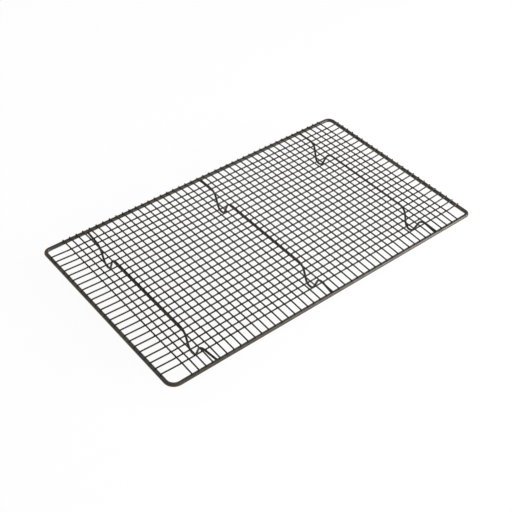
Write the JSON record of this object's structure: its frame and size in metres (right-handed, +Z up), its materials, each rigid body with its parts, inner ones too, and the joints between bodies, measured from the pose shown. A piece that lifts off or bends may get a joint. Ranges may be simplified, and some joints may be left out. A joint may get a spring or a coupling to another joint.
{
  "type": "cooling rack",
  "caption": "Rectangular wire cooling rack: a round-rod frame carries a welded grid of thin wires and stands on bent wire legs with V-shaped feet.",
  "frame": {"origin": "on the worktop, under the middle of the frame", "axes": "+X along the long sides, +Y along the short sides, +Z up from the worktop"},
  "size_m": [0.4604, 0.2648, 0.0304],
  "materials": {
    "frame_coating": "satin non-stick coating",
    "mesh_coating": "satin non-stick coating",
    "leg_coating": "satin non-stick coating"
  },
  "bodies": {
    "root": {"frame_rod": "frame_coating", "leg_left": "leg_coating", "leg_middle": "leg_coating", "leg_right": "leg_coating", "long_wire_01": "mesh_coating", "long_wire_02": "mesh_coating", "long_wire_03": "mesh_coating", "long_wire_04": "mesh_coating", "long_wire_05": "mesh_coating", "long_wire_06": "mesh_coating", "long_wire_07": "mesh_coating", "long_wire_08": "mesh_coating", "long_wire_09": "mesh_coating", "long_wire_10": "mesh_coating", "long_wire_11": "mesh_coating", "long_wire_12": "mesh_coating", "long_wire_13": "mesh_coating", "long_wire_14": "mesh_coating", "long_wire_15": "mesh_coating", "long_wire_16": "mesh_coating", "long_wire_17": "mesh_coating", "long_wire_18": "mesh_coating", "long_wire_19": "mesh_coating", "long_wire_20": "mesh_coating", "long_wire_21": "mesh_coating", "long_wire_22": "mesh_coating", "long_wire_23": "mesh_coating", "long_wire_24": "mesh_coating", "short_wires_01_02": "mesh_coating", "short_wires_03_04": "mesh_coating", "short_wires_05_06": "mesh_coating", "short_wires_07_08": "mesh_coating", "short_wires_09_10": "mesh_coating", "short_wires_11_12": "mesh_coating", "short_wires_13_14": "mesh_coating", "short_wires_15_16": "mesh_coating", "short_wires_17_18": "mesh_coating", "short_wires_19_20": "mesh_coating", "short_wires_21_22": "mesh_coating", "short_wires_23_24": "mesh_coating", "short_wires_25_26": "mesh_coating", "short_wires_27_28": "mesh_coating", "short_wires_29_30": "mesh_coating", "short_wires_31_32": "mesh_coating", "short_wires_33_34": "mesh_coating", "short_wires_35_36": "mesh_coating", "short_wires_37_38": "mesh_coating", "short_wires_39_40": "mesh_coating", "short_wires_41_42": "mesh_coating", "short_wires_43_44": "mesh_coating"}
  },
  "joints": []
}
